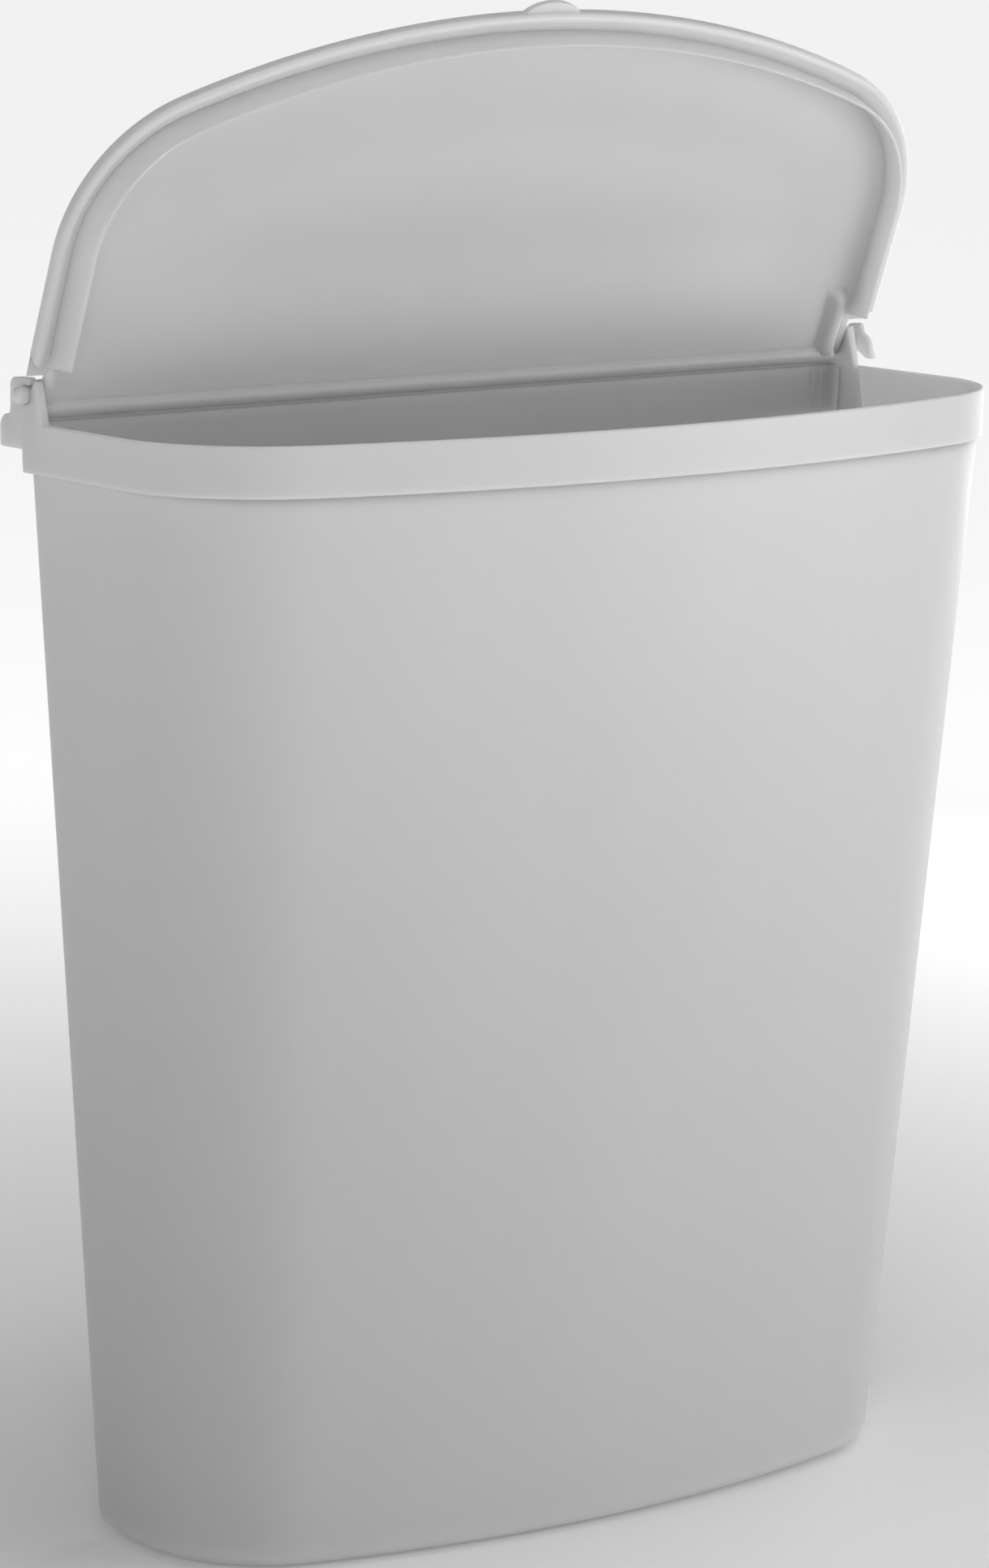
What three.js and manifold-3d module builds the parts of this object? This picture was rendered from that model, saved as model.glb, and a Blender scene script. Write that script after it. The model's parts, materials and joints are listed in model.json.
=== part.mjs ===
// Slim wall-hung waste bin: a tapered D-shaped moulded bin with a snap-in hinged lid, hanging on a
// folded steel bracket that is held by four screws in wall plugs. Millimetres, +Z up, front at -Y.
//
// Bin frame: x = 0 is the middle, y = 0 the back face of the rim band, z = 0 the base.
// The exported group moves that frame so that its origin is the middle of the bracket's wall face.

import * as THREE from "three";
import { mergeVertices } from "three/addons/utils/BufferGeometryUtils.js";
import Module from "manifold-3d";

const wasm = await Module();
wasm.setup();

// ---------------------------------------------------------------- driving dimensions
const RIM_HEIGHT = 400;
const WALL = 2;
const FLOOR = 2.2;
const GAP = 0.3;

// D-shaped outlines: half width, depth to the front, corner radius, front arc radius, back edge
const RIM_OUTLINE = { half: 179.6, depth: 141.8, corner: 58.1, front: 495.5, back: 0, heel: 2 };
const BASE_OUTLINE = { half: 156.5, depth: 101.4, corner: 54.4, front: 444, back: -4.4, heel: 4 };
const BASE_ROUND = 9.3;

const BAND_HEIGHT = 17.7;
const BAND_PROUD = 1.2;
const BAND_DRAFT = 0.5;
const BODY_TOP = RIM_HEIGHT - 5;
const BODY_BACK = -3;
const FLARE_LOW = 376;
const FLARE_HIGH = 383;

const LEDGE_DEPTH = 12.9;
const LEDGE_DROP = 9.6;

const HINGE_Y = -4.3;
const HINGE_Z = RIM_HEIGHT + 9.4;
const PIN_RADIUS = 3.05;
const SOCKET_RADIUS = PIN_RADIUS + GAP;
const SOCKET_MOUTH = 2.9;
const EAR_THICKNESS = 3.3;
const EAR_INNER = RIM_OUTLINE.half - EAR_THICKNESS;
const PIN_END_LEFT = 4.5;
const PIN_END_RIGHT = 6.4;
const TONGUE_THICKNESS = 2.6;

const LID_OUTLINE = { half: 183.8, depth: 142, corner: 61.5, front: 388, back: 3.6, heel: 1 };
const LID_OPEN_ANGLE = 67;
const LID_TOP = -2.8;
const LID_THICKNESS = 2;
const LID_EDGE_ROUND = 2.4;
const LID_DOME = 7;
const BEAD_BOTTOM = -9;
const BEAD_ROUND = 1.9;
const BEAD_WIDTH = 7.3;
const BEAD_ROOT = -5.6;
const SKIRT_BOTTOM = -16.6;
const SKIRT_START = 15;
const BEAD_START = 18;
const CORNER_START = 10;
const ROLL = { y: 3.6, z: -4.6, radius: 3.4 };
const KNUCKLE = { front: -21, back: 3.5, top: 5, bottom: -9, round: 3 };
const KNUCKLE_WIDTH_LEFT = 5;
const KNUCKLE_WIDTH_RIGHT = 13.4;
const TAB_HALF = 11.8;
const TAB_REACH = 3.7;

const FIN_X = 100;
const FIN_WIDTH = 4;
const FIN_LOW = 40;
const FIN_HIGH = 120;

const SHEET = 2;
const WALL_PLANE = 16.4;
const BRACKET_HALF = 150;
const BRACKET_LOW = 348;
const SHELF_TOP = 378;
const FIXING_HEIGHT = 362;
const SCREW_X = [-120, -45, 45, 120];
const SCREW_SHANK = 1.75;
const SCREW_HEAD = { radius: 4, height: 2.4 };
const SCREW_LENGTH = 40;
const COLLAR_RECESS = 0.6;
const PLUG = { radius: 3, collar: 4, collarLength: 1, length: 32 };

// ---------------------------------------------------------------- colours
const plastic = (color, roughness = 0.42) => new THREE.MeshStandardMaterial({ color, roughness, metalness: 0 });
const steel = (color) => new THREE.MeshStandardMaterial({ color, roughness: 0.35, metalness: 1 });
const BIN_GREY = "#c4c4c4";
const LID_GREY = "#c8c8c8";
const ZINC = "#b9bcc0";
const NYLON_GREY = "#8f9294";

// ---------------------------------------------------------------- solids and booleans
function solid(geometry) {
  const bare = geometry.index ? geometry.clone() : geometry;
  bare.deleteAttribute("normal");
  bare.deleteAttribute("uv");
  const merged = mergeVertices(bare, 1e-4);
  return new wasm.Manifold(new wasm.Mesh({
    numProp: 3,
    vertProperties: new Float32Array(merged.attributes.position.array),
    triVerts: new Uint32Array(merged.index.array),
  }));
}

function toGeometry(manifold) {
  const { vertProperties, triVerts } = manifold.getMesh();
  const geometry = new THREE.BufferGeometry();
  geometry.setAttribute("position", new THREE.BufferAttribute(vertProperties, 3));
  geometry.setIndex(new THREE.BufferAttribute(triVerts, 1));
  return geometry;
}

function named(name, geometry, material) {
  const mesh = new THREE.Mesh(geometry, material);
  mesh.name = name;
  return mesh;
}

const box = (x0, x1, y0, y1, z0, z1) => solid(
  new THREE.BoxGeometry(x1 - x0, y1 - y0, z1 - z0).translate((x0 + x1) / 2, (y0 + y1) / 2, (z0 + z1) / 2),
);

// A profile drawn in (y, z) and extruded along x from x0 to x1
function plate(shape, x0, x1, curveSegments = 8) {
  const geometry = new THREE.ExtrudeGeometry(shape, { depth: x1 - x0, bevelEnabled: false, curveSegments });
  const toYZ = new THREE.Matrix4().makeBasis(
    new THREE.Vector3(0, 1, 0), new THREE.Vector3(0, 0, 1), new THREE.Vector3(1, 0, 0),
  );
  return solid(geometry.applyMatrix4(toYZ).translate(x0, 0, 0));
}

// A [radius, height] profile turned around the y axis
const lathe = (profile, segments) => new THREE.LatheGeometry(
  profile.map(([radius, height]) => new THREE.Vector2(radius, height)), segments,
);

const cylinderX = (radius, x0, x1, y, z, segments = 20) => solid(
  new THREE.CylinderGeometry(radius, radius, x1 - x0, segments)
    .rotateZ(-Math.PI / 2).translate((x0 + x1) / 2, y, z),
);

// ---------------------------------------------------------------- D-shaped outlines and lofts
function arc(cx, cy, radius, from, to, steps) {
  const points = [];
  for (let i = 0; i <= steps; i += 1) {
    const angle = from + ((to - from) * i) / steps;
    points.push(new THREE.Vector2(cx + radius * Math.cos(angle), cy + radius * Math.sin(angle)));
  }
  return points;
}

// Counterclockwise from the front middle: front arc, corner, straight side, rounded heel, back
function outline({ half, depth, corner, front, back, heel }) {
  const frontCentre = front - depth;
  const cornerX = half - corner;
  const cornerY = frontCentre - Math.sqrt((front - corner) ** 2 - cornerX ** 2);
  const meet = Math.atan2(cornerY - frontCentre, cornerX);
  const right = [
    ...arc(0, frontCentre, front, -Math.PI / 2, meet, 7),
    ...arc(cornerX, cornerY, corner, meet, 0, 9).slice(1),
    ...arc(half - heel, back - heel, heel, 0, Math.PI / 2, 3),
  ];
  const left = right.slice(1).reverse().map((point) => new THREE.Vector2(-point.x, point.y));
  return [...right, ...left];
}

const inset = (shape, distance) => ({
  half: shape.half - distance,
  depth: shape.depth - distance,
  corner: shape.corner - distance,
  front: shape.front - distance,
  back: shape.back - distance,
  heel: shape.heel,
});

function blend(low, high, t) {
  const mixed = {};
  for (const key of Object.keys(low)) mixed[key] = THREE.MathUtils.lerp(low[key], high[key], t);
  return mixed;
}

// Skins a list of rings { points, z }; "closed" joins the last ring to the first, else both are capped
function loft(rings, closed = false) {
  const count = rings[0].points.length;
  const positions = [];
  const faces = [];
  for (const { points, z } of rings) {
    for (const point of points) positions.push(point.x, point.y, z);
  }
  const spans = closed ? rings.length : rings.length - 1;
  for (let i = 0; i < spans; i += 1) {
    const low = i * count;
    const high = ((i + 1) % rings.length) * count;
    for (let j = 0; j < count; j += 1) {
      const next = (j + 1) % count;
      faces.push(low + j, low + next, high + next, low + j, high + next, high + j);
    }
  }
  if (!closed) {
    const last = (rings.length - 1) * count;
    for (let j = 1; j < count - 1; j += 1) {
      faces.push(0, j + 1, j, last, last + j, last + j + 1);
    }
  }
  const geometry = new THREE.BufferGeometry();
  geometry.setAttribute("position", new THREE.Float32BufferAttribute(positions, 3));
  geometry.setIndex(faces);
  return solid(geometry);
}

const ring = (shape, z) => ({ points: outline(shape), z });

// ---------------------------------------------------------------- bin body
const BODY_TOP_OUTLINE = { ...inset(RIM_OUTLINE, BAND_PROUD), back: BODY_BACK, heel: 4 };
const bodyOutline = (z) => blend(BASE_OUTLINE, BODY_TOP_OUTLINE, z / BODY_TOP);

function shellOuter() {
  const rings = [];
  for (const degrees of [0, 22.5, 45, 67.5, 90]) {
    const angle = THREE.MathUtils.degToRad(degrees);
    const z = BASE_ROUND * (1 - Math.cos(angle));
    rings.push(ring(inset(bodyOutline(z), BASE_ROUND * (1 - Math.sin(angle))), z));
  }
  rings.push(ring(bodyOutline(BODY_TOP), BODY_TOP));
  return loft(rings);
}

function shellCavity() {
  const innerRound = BASE_ROUND - WALL;
  const rings = [];
  for (const degrees of [0, 30, 60, 90]) {
    const angle = THREE.MathUtils.degToRad(degrees);
    const z = FLOOR + innerRound * (1 - Math.cos(angle));
    rings.push(ring(inset(bodyOutline(z), WALL + innerRound * (1 - Math.sin(angle))), z));
  }
  rings.push(ring(inset(bodyOutline(FLARE_LOW), WALL), FLARE_LOW));
  const mouth = { ...inset(RIM_OUTLINE, WALL), back: BODY_BACK - WALL, heel: 4 };
  rings.push(ring(inset(mouth, BAND_DRAFT), FLARE_HIGH));
  rings.push(ring(mouth, RIM_HEIGHT + 1));
  return loft(rings);
}

const rimBand = () => loft([
  ring(inset(RIM_OUTLINE, BAND_DRAFT), RIM_HEIGHT - BAND_HEIGHT),
  ring(RIM_OUTLINE, RIM_HEIGHT),
]);

// Inverted channel along the back of the rim that hooks over the bracket's lip
function rearLedge() {
  const half = RIM_OUTLINE.half;
  const profile = new THREE.Shape();
  const round = 3;
  profile.moveTo(-1, RIM_HEIGHT - LEDGE_DROP);
  profile.lineTo(LEDGE_DEPTH, RIM_HEIGHT - LEDGE_DROP);
  profile.lineTo(LEDGE_DEPTH, RIM_HEIGHT - round);
  profile.absarc(LEDGE_DEPTH - round, RIM_HEIGHT - round, round, 0, Math.PI / 2, false);
  profile.lineTo(-1, RIM_HEIGHT);
  const hollow = box(
    EAR_THICKNESS - half, half - EAR_THICKNESS,
    0, LEDGE_DEPTH - WALL,
    RIM_HEIGHT - BAND_HEIGHT - 1, RIM_HEIGHT - WALL,
  );
  return plate(profile, -half, half).subtract(hollow);
}

// Hinge ear: a plate with a snap socket, a curled rear tine over the pin and a sloping front edge
function earProfile() {
  const mouthHalf = Math.asin(SOCKET_MOUTH / 2 / SOCKET_RADIUS);
  const mouthCentre = THREE.MathUtils.degToRad(135);
  const foot = LEDGE_DEPTH;
  const rim = RIM_HEIGHT;
  const shape = new THREE.Shape();
  shape.moveTo(foot, rim - LEDGE_DROP);
  shape.lineTo(foot, rim - 3);
  shape.absarc(foot - 5, rim - 3, 5, 0, Math.PI / 2, false);
  shape.quadraticCurveTo(6.1, rim + 2.2, 6, rim + 5);
  shape.lineTo(5.8, rim + 12.6);
  shape.absarc(3.3, rim + 12.6, 2.5, 0, Math.PI / 2, false);
  shape.lineTo(HINGE_Y - 1.3, rim + 15.4);
  shape.absarc(HINGE_Y - 1.3, rim + 14, 1.4, Math.PI / 2, Math.PI * 1.35, false);
  shape.absarc(HINGE_Y, HINGE_Z, SOCKET_RADIUS, mouthCentre - mouthHalf, mouthCentre + mouthHalf, true);
  shape.lineTo(HINGE_Y - 6.7, rim + 14.7);
  shape.lineTo(HINGE_Y - 7.5, rim + 13.7);
  shape.lineTo(HINGE_Y - 10.8, rim);
  shape.lineTo(HINGE_Y - 16.4, rim - BAND_HEIGHT);
  shape.lineTo(0, rim - BAND_HEIGHT);
  shape.lineTo(0, rim - LEDGE_DROP);
  return shape;
}

// Shallow rib that carries the ear down the inside of the side wall
function ribProfile() {
  const back = BODY_BACK - WALL / 2;
  const shape = new THREE.Shape();
  shape.moveTo(back, RIM_HEIGHT - 3);
  shape.lineTo(back, RIM_HEIGHT - 30);
  shape.lineTo(HINGE_Y - 18, RIM_HEIGHT - 24);
  shape.lineTo(HINGE_Y - 11.9, RIM_HEIGHT - 3);
  return shape;
}

// Stand-off low on the back wall that keeps the hanging bin plumb
function finProfile() {
  const reach = WALL_PLANE - GAP;
  const shape = new THREE.Shape();
  shape.moveTo(BODY_BACK - WALL, FIN_LOW);
  shape.lineTo(reach - 3, FIN_LOW + 6);
  shape.absarc(reach - 3, FIN_LOW + 9, 3, -Math.PI / 2, 0, false);
  shape.lineTo(reach, FIN_HIGH - 30);
  shape.lineTo(BODY_BACK - WALL, FIN_HIGH);
  return shape;
}

function binBody() {
  let body = shellOuter().add(rimBand());
  body = body.add(rearLedge());
  for (const side of [-1, 1]) {
    const x = side * FIN_X;
    body = body.add(plate(finProfile(), x - FIN_WIDTH / 2, x + FIN_WIDTH / 2));
  }
  body = body.subtract(shellCavity());
  for (const side of [-1, 1]) {
    const ear = [side * EAR_INNER, side * RIM_OUTLINE.half].sort((a, b) => a - b);
    const rib = [side * (EAR_INNER - 1), side * (EAR_INNER + 1)].sort((a, b) => a - b);
    body = body.add(plate(earProfile(), ear[0], ear[1], 10));
    body = body.add(plate(ribProfile(), rib[0], rib[1]));
  }
  return named("bin_body", toGeometry(body), plastic(BIN_GREY));
}

// ---------------------------------------------------------------- lid
// Lid frame: x along the hinge axis, y = z = 0 on it, drawn closed, with the front at -y
const DOME_STEPS = [0.93, 0.8, 0.62, 0.42, 0.2];

function domeRings(insetBy, edgeZ, dome, steps) {
  const base = outline(inset(LID_OUTLINE, insetBy));
  const middle = -LID_OUTLINE.depth * 0.45;
  return steps.map((t) => ({
    points: base.map((point) => new THREE.Vector2(point.x * t, middle + (point.y - middle) * t)),
    z: edgeZ + dome * (1 - t * t),
  }));
}

function lidPlate() {
  const under = LID_TOP - LID_THICKNESS;
  const rings = domeRings(LID_THICKNESS, under, LID_DOME, [...DOME_STEPS].reverse());
  rings.push(ring(inset(LID_OUTLINE, LID_THICKNESS), under));
  rings.push(ring(LID_OUTLINE, under));
  for (const degrees of [0, 30, 60, 90]) {
    const angle = THREE.MathUtils.degToRad(degrees);
    const insetBy = LID_EDGE_ROUND * (1 - Math.cos(angle));
    rings.push(ring(inset(LID_OUTLINE, insetBy), LID_TOP - LID_EDGE_ROUND * (1 - Math.sin(angle))));
  }
  rings.push(...domeRings(LID_EDGE_ROUND, LID_TOP, LID_DOME, DOME_STEPS));
  return loft(rings);
}

// The bead is rounded outside and slopes up inwards until it meets the skirt
function lidBead() {
  const top = LID_TOP - LID_THICKNESS + 0.5;
  const rings = [];
  rings.push(ring(inset(LID_OUTLINE, BEAD_WIDTH), BEAD_ROOT));
  for (const degrees of [300, 270, 225, 180]) {
    const angle = THREE.MathUtils.degToRad(degrees);
    const insetBy = BEAD_ROUND * (1 + Math.cos(angle));
    rings.push(ring(inset(LID_OUTLINE, insetBy), BEAD_BOTTOM + BEAD_ROUND * (1 + Math.sin(angle))));
  }
  rings.push(ring(LID_OUTLINE, top));
  rings.push(ring(inset(LID_OUTLINE, BEAD_WIDTH), top));
  return loft(rings, true);
}

function lidSkirt() {
  const top = LID_TOP - LID_THICKNESS + 0.5;
  const root = { ...LID_OUTLINE, half: LID_OUTLINE.half - 6.8, depth: LID_OUTLINE.depth - 7.2, corner: 54 };
  const edge = { ...root, half: LID_OUTLINE.half - 10, depth: LID_OUTLINE.depth - 8, corner: 51 };
  const thickness = 1.9;
  return loft([
    ring(inset(edge, thickness), SKIRT_BOTTOM),
    ring(edge, SKIRT_BOTTOM),
    ring(root, top),
    ring(inset(root, thickness), top),
  ], true);
}

// Rounded box that joins the plate to its hinge pin
function knuckle(x0, x1) {
  const { front, back, top, bottom, round } = KNUCKLE;
  const shape = new THREE.Shape();
  shape.moveTo(front, bottom);
  shape.lineTo(back - round, bottom);
  shape.absarc(back - round, bottom + round, round, -Math.PI / 2, 0, false);
  shape.lineTo(back, top - round);
  shape.absarc(back - round, top - round, round, 0, Math.PI / 2, false);
  shape.lineTo(-round, top);
  shape.lineTo(front, LID_TOP);
  return plate(shape, x0, x1);
}

// Curved tongue on the outer end of the right-hand pin that keeps it in its socket
function tongue() {
  const x0 = RIM_OUTLINE.half + PIN_END_RIGHT;
  const shape = new THREE.Shape();
  shape.moveTo(-2, 5.4);
  shape.quadraticCurveTo(-6.4, 2, -6.2, -2.4);
  shape.quadraticCurveTo(-6.2, -5.6, -8, -7.8);
  shape.quadraticCurveTo(-2.6, -8, -1, -3);
  shape.quadraticCurveTo(3.4, -3, 3.4, 1);
  shape.quadraticCurveTo(3.2, 5.4, -2, 5.4);
  return plate(shape, x0 - TONGUE_THICKNESS / 2, x0 + TONGUE_THICKNESS / 2, 5);
}

function thumbTab() {
  const shape = new THREE.Shape();
  const front = -LID_OUTLINE.depth;
  shape.moveTo(TAB_HALF, front + 2);
  shape.quadraticCurveTo(TAB_HALF - 4, front - TAB_REACH, 0, front - TAB_REACH);
  shape.quadraticCurveTo(4 - TAB_HALF, front - TAB_REACH, -TAB_HALF, front + 2);
  shape.closePath();
  const geometry = new THREE.ExtrudeGeometry(shape, { depth: 2.6, bevelEnabled: false, curveSegments: 6 });
  return solid(geometry.translate(0, 0, LID_TOP - 3.8));
}

// The left pin ends in a low dome, the right one in the tongue
function pins() {
  const outer = RIM_OUTLINE.half;
  const dome = 1.5;
  const start = EAR_INNER - 1;
  const profile = [[0, start], [PIN_RADIUS, start], [PIN_RADIUS, outer + PIN_END_LEFT - dome]];
  for (const degrees of [30, 60]) {
    const angle = THREE.MathUtils.degToRad(degrees);
    profile.push([PIN_RADIUS * Math.cos(angle), outer + PIN_END_LEFT - dome + dome * Math.sin(angle)]);
  }
  profile.push([0, outer + PIN_END_LEFT]);
  const left = lathe(profile, 20).rotateZ(Math.PI / 2);
  const right = cylinderX(PIN_RADIUS, start, outer + PIN_END_RIGHT, 0, 0);
  return solid(left).add(right).add(tongue());
}

function lid() {
  const { half, depth } = LID_OUTLINE;
  const bodyHalf = EAR_INNER - GAP - 0.1;
  const far = half + 10;
  const keepBead = box(-far, far, -depth - 10, -BEAD_START, -40, 40);
  const keepSkirt = box(-far, far, -depth - 10, -SKIRT_START, -40, 40);
  let piece = lidPlate();
  piece = piece.subtract(box(bodyHalf, far, -CORNER_START, 20, -40, 40));
  piece = piece.subtract(box(-far, -bodyHalf, -CORNER_START, 20, -40, 40));
  piece = piece.add(lidBead().intersect(keepBead));
  piece = piece.add(lidSkirt().intersect(keepSkirt));
  piece = piece.add(cylinderX(ROLL.radius, -bodyHalf, bodyHalf, ROLL.y, ROLL.z, 16));
  piece = piece.add(knuckle(bodyHalf - KNUCKLE_WIDTH_RIGHT, bodyHalf));
  piece = piece.add(knuckle(-bodyHalf, KNUCKLE_WIDTH_LEFT - bodyHalf));
  piece = piece.add(pins()).add(thumbTab());
  const mesh = named("lid", toGeometry(piece), plastic(LID_GREY));
  const hinge = new THREE.Group();
  hinge.position.set(0, HINGE_Y, HINGE_Z);
  hinge.rotation.x = THREE.MathUtils.degToRad(-LID_OPEN_ANGLE);
  hinge.add(mesh);
  return hinge;
}

// ---------------------------------------------------------------- bracket, screws and plugs
// Z-shaped folded strip: plate on the wall, shelf forward, lip up into the ledge. Each hole has a
// shallow recess at the back that clears the plug's collar.
function wallBracket() {
  const lipBack = LEDGE_DEPTH - WALL - GAP;
  const lipTop = RIM_HEIGHT - WALL - GAP;
  const shape = new THREE.Shape();
  shape.moveTo(WALL_PLANE, BRACKET_LOW);
  shape.lineTo(WALL_PLANE, SHELF_TOP);
  shape.lineTo(lipBack, SHELF_TOP);
  shape.lineTo(lipBack, lipTop);
  shape.lineTo(lipBack - SHEET, lipTop);
  shape.lineTo(lipBack - SHEET, SHELF_TOP - SHEET);
  shape.lineTo(WALL_PLANE - SHEET, SHELF_TOP - SHEET);
  shape.lineTo(WALL_PLANE - SHEET, BRACKET_LOW);
  let bracket = plate(shape, -BRACKET_HALF, BRACKET_HALF);
  for (const x of SCREW_X) {
    const drill = new THREE.CylinderGeometry(SCREW_SHANK + 0.5, SCREW_SHANK + 0.5, 3 * SHEET, 20);
    bracket = bracket.subtract(solid(drill.translate(x, WALL_PLANE - SHEET / 2, FIXING_HEIGHT)));
    const recess = new THREE.CylinderGeometry(PLUG.collar + 1, PLUG.collar + 1, 2 * COLLAR_RECESS, 20);
    bracket = bracket.subtract(solid(recess.translate(x, WALL_PLANE, FIXING_HEIGHT)));
  }
  return named("wall_bracket", toGeometry(bracket), steel(ZINC));
}

// Pan-head screw drawn along +y, with y = 0 under its head
function screwGeometry() {
  const { radius, height } = SCREW_HEAD;
  return lathe([
    [0, -height], [radius * 0.55, -height * 0.96], [radius * 0.85, -height * 0.72], [radius, -height * 0.25],
    [radius, 0], [SCREW_SHANK, 0], [SCREW_SHANK, SCREW_LENGTH - 5], [0, SCREW_LENGTH],
  ], 20);
}

// Expansion plug drawn along +y, with its collar's face at y = 0 and a bore for the screw
function plugGeometry() {
  const { radius, collar, collarLength, length } = PLUG;
  const bore = SCREW_SHANK + GAP;
  return lathe([
    [bore, 0], [collar, 0], [collar, collarLength], [radius, collarLength + 0.6], [radius, length - 3],
    [bore + 0.6, length], [bore, length], [bore, 0],
  ], 20);
}

function fixings() {
  const pieces = [];
  SCREW_X.forEach((x, index) => {
    const screw = named(`bracket_screw_${index + 1}`, screwGeometry(), steel(ZINC));
    screw.position.set(x, WALL_PLANE - SHEET - GAP, FIXING_HEIGHT);
    const plug = named(`wall_plug_${index + 1}`, plugGeometry(), plastic(NYLON_GREY, 0.6));
    plug.position.set(x, WALL_PLANE + GAP, FIXING_HEIGHT);
    pieces.push(screw, plug);
  });
  return pieces;
}

// ---------------------------------------------------------------- assembly
const bin = new THREE.Group();
bin.position.set(0, -WALL_PLANE, -FIXING_HEIGHT);
bin.add(wallBracket(), ...fixings(), binBody(), lid());

export default bin;
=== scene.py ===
"""Slim wall-hung waste bin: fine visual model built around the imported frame.

Shapes are drawn in millimetres. The bin frame has x = 0 in the middle, y = 0 on the back face of the
rim band and z = 0 at the base. The lid frame has its x axis on the hinge and is drawn closed.
"""

import json
import math

import bmesh
import bpy
from mathutils import Matrix, Vector


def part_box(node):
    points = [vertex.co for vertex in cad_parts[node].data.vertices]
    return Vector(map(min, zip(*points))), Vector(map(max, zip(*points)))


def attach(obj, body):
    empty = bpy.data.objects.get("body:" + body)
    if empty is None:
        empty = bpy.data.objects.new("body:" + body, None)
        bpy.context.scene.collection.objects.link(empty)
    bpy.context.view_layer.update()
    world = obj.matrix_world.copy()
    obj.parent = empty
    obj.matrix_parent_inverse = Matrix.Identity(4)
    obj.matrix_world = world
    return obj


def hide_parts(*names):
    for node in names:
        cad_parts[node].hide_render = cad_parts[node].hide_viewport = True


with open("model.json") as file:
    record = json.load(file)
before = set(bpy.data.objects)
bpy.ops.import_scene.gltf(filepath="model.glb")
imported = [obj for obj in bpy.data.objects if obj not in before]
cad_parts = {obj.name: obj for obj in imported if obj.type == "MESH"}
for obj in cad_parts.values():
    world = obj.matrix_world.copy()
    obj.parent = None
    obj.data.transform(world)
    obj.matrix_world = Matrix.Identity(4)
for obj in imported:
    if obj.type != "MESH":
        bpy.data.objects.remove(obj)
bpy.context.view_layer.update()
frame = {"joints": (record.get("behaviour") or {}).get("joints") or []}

MM = 0.001

# ---------------------------------------------------------------- driving dimensions, mm
WALL = 2.0
BIN_FLOOR = 2.2
CLEARANCE = 0.3
RIM_HEIGHT = 400.0
RIM = dict(half=179.6, depth=141.8, corner=58.1, front=495.5, back=0.0, heel=2.0)
BASE = dict(half=156.5, depth=101.4, corner=54.4, front=444.0, back=-4.4, heel=4.0)
BASE_ROUND = 9.3
FLAT_INSET = BASE_ROUND + 12.0
BAND_HEIGHT = 17.7
BAND_PROUD = 1.2
BAND_DRAFT = 0.5
BODY_TOP = RIM_HEIGHT - 5.0
BODY_BACK = -3.0
BODY_HEEL = 4.0
FLARE_LOW = 376.0
FLARE_HIGH = 383.0
LEDGE_DEPTH = 12.9
LEDGE_DROP = 9.6
HINGE_Y = -4.3
HINGE_Z = RIM_HEIGHT + 9.4
PIN_RADIUS = 3.05
SOCKET_RADIUS = 3.35
SOCKET_MOUTH = 2.9
EAR_THICKNESS = 3.3
EAR_OUTER = RIM["half"] - 0.05
EAR_INNER = RIM["half"] - EAR_THICKNESS
EAR_FRONT_DROP = 1.6
RIB_DROP = 1.2
# Distance in from the rim's side, reach and drop of the two buttresses under each ear.
HEEL_RIDGES = ((10.1, 1.3, 30.0), (14.4, 1.6, 18.0))
STAND_OFF_X = 100.0
STAND_OFF_HALF = 2.0

LID = dict(half=183.8, depth=142.0, corner=61.5, front=388.0, back=3.6, heel=1.0)
LID_TOP = -2.8
LID_UNDER = -4.8
LID_ROUND = 2.4
LID_DOME = 7.0
# The dome rises between these distances from the lid's rear edge and from its other edges.
DOME_FROM_HINGE = (9.0, 55.0)
DOME_FROM_EDGE = (11.0, 55.0)
# Middle and half-length of the oval in the dome's middle, as shares of the lid's depth and half-width.
DOME_MIDDLE = 0.46
DOME_OVAL = 0.92
LID_BODY_HALF = EAR_INNER - 0.4
BEAD_ROUND = 1.9
BEAD_WIDTH = 7.3
BEAD_ROOT = -5.6
BEAD_BOTTOM = -9.0
BEAD_START = 15.6
BEAD_SLANT = 2.6
CORNER_START = 10.0
RIGHT_CORNER_EXTRA = 0.6
SKIRT_START = 12.7
SKIRT_SLANT = 4.2
SKIRT_BOTTOM = -16.6
SKIRT_INSET = 6.8
SKIRT_CORNER = 54.0
SKIRT_LEAN = 2.4
PLATE_OVERLAP = 0.6
ROLL_Y = 3.6
ROLL_Z = -4.6
ROLL_RADIUS = 3.4
ROLL_SHORT = 3.6
TAB_HALF = 11.8
TAB_REACH = 3.7
LEFT_KNUCKLE = 4.6
RIGHT_KNUCKLE = 5.8
LEFT_PIN_REACH = 4.5
RIGHT_PIN_REACH = 6.4
# Distance in from the lid's side, and share of the bar's depth there.
LEFT_BAR = [(0.0, 0.1), (0.2, 0.55), (0.9, 0.85), (1.9, 1.0), (3.3, 1.0), (4.1, 0.8), (4.6, 0.1)]
LEFT_BAR_DEPTH = 2.2
RIGHT_BAR = [
    (14.3, 0.02), (13.5, 0.14), (12.5, 0.5), (11.5, 0.82), (10.7, 0.96), (9.7, 1.0), (8.5, 1.0),
    (7.5, 0.96), (6.7, 0.86), (6.1, 0.7), (5.8, 0.5), (5.7, 0.05),
]
RIGHT_BAR_DEPTH = 4.8

WALL_PLANE = 16.4
SHEET = 2.0
BRACKET_HALF = 150.0
BRACKET_LOW = 348.0
SHELF_TOP = 378.0
FIXING_HEIGHT = 362.0
SCREW_X = (-120.0, -45.0, 45.0, 120.0)

SHARP_ANGLE = math.radians(32.0)
# Noise seldom leaves this range, so it is stretched from here.
NOISE_RANGE = (0.3, 0.7)

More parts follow.
